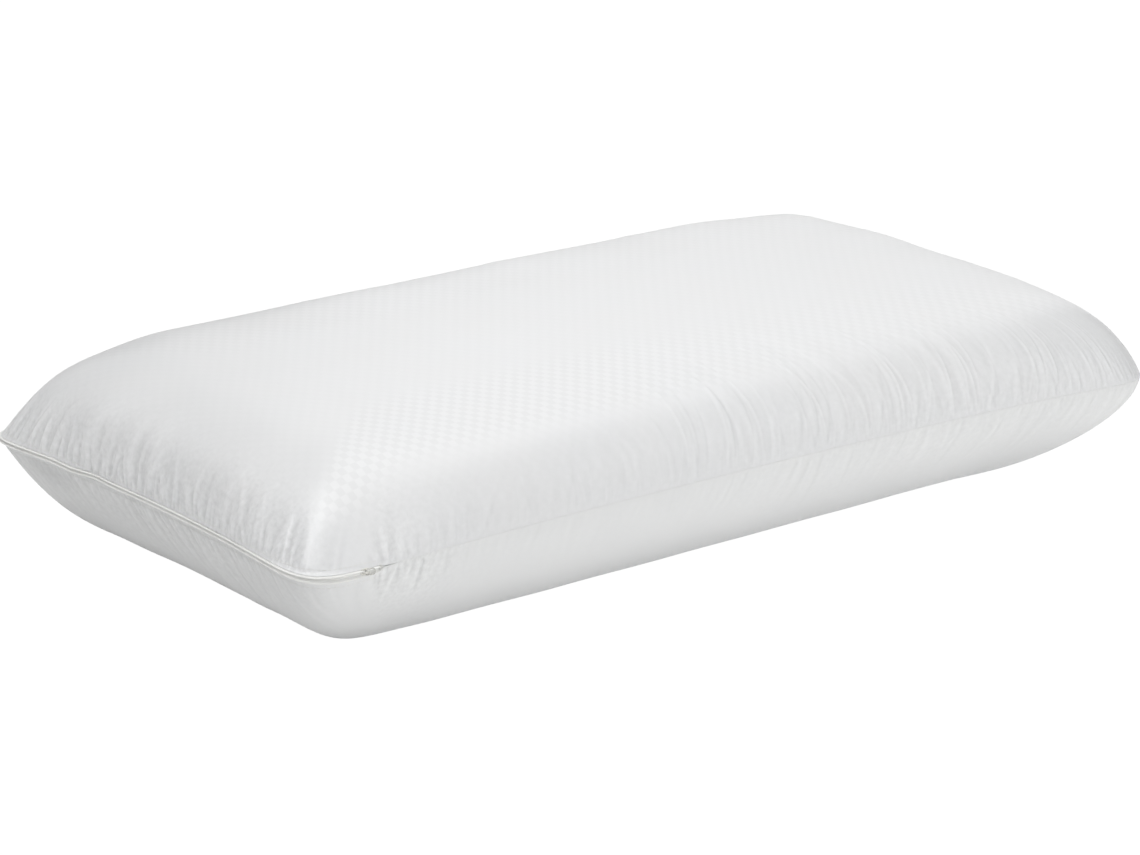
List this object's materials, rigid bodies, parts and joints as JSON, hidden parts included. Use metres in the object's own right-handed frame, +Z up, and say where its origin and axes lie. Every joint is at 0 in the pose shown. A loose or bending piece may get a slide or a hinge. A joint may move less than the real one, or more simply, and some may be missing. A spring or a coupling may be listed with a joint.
{
  "type": "bed pillow",
  "caption": "Rectangular soap-shaped bed pillow: moulded foam core in a sewn inner cover, inside a satin outer cover with a zip round one short end.",
  "frame": {"origin": "on the floor under the middle of the pillow's bounding box", "axes": "+X along the length, away from the zipped short end; +Y to the back long side; +Z up"},
  "size_m": [0.6874, 0.3838, 0.1351],
  "materials": {
    "cover_satin": "satin",
    "cover_plain": "matte",
    "inner_cover_tricot": "matte",
    "foam": "matte",
    "thread": "satin",
    "zip_tape": "matte",
    "zip_coil": "satin",
    "slider_enamel": "satin",
    "pull_wire": "satin"
  },
  "bodies": {
    "pillow": {"foam_core": "foam", "inner_cover_top": "inner_cover_tricot", "inner_cover_bottom": "inner_cover_tricot", "inner_cover_seam_thread": "thread", "cover_seam_thread": "thread", "zip_tape_upper": "zip_tape", "zip_tape_lower": "zip_tape", "zip_coil_upper": "zip_coil", "zip_coil_lower": "zip_coil", "zip_stitches_upper": "thread", "zip_stitches_lower": "thread", "zip_top_stop_upper": "zip_coil", "zip_top_stop_lower": "zip_coil", "zip_bottom_stop": "zip_coil", "zip_end_tack_front": "thread", "zip_end_tack_back": "thread", "cover_top": "cover_satin", "cover_bottom": "cover_plain"},
    "slider": {"zip_slider": "slider_enamel"},
    "pull": {"zip_pull": "pull_wire"}
  },
  "joints": [
    {"name": "slider_slide", "type": "slide", "parent": "pillow", "child": "slider", "axis": [0.9848, -0.1628, 0.0604], "range_m": [-0.016, 0]},
    {"name": "pull_hinge", "type": "hinge", "parent": "slider", "child": "pull", "pos_m": [-0.30622, -0.19098, 0.07139], "axis": [0.0595, -0.0098, -0.9982], "range_deg": [0, 170]}
  ]
}
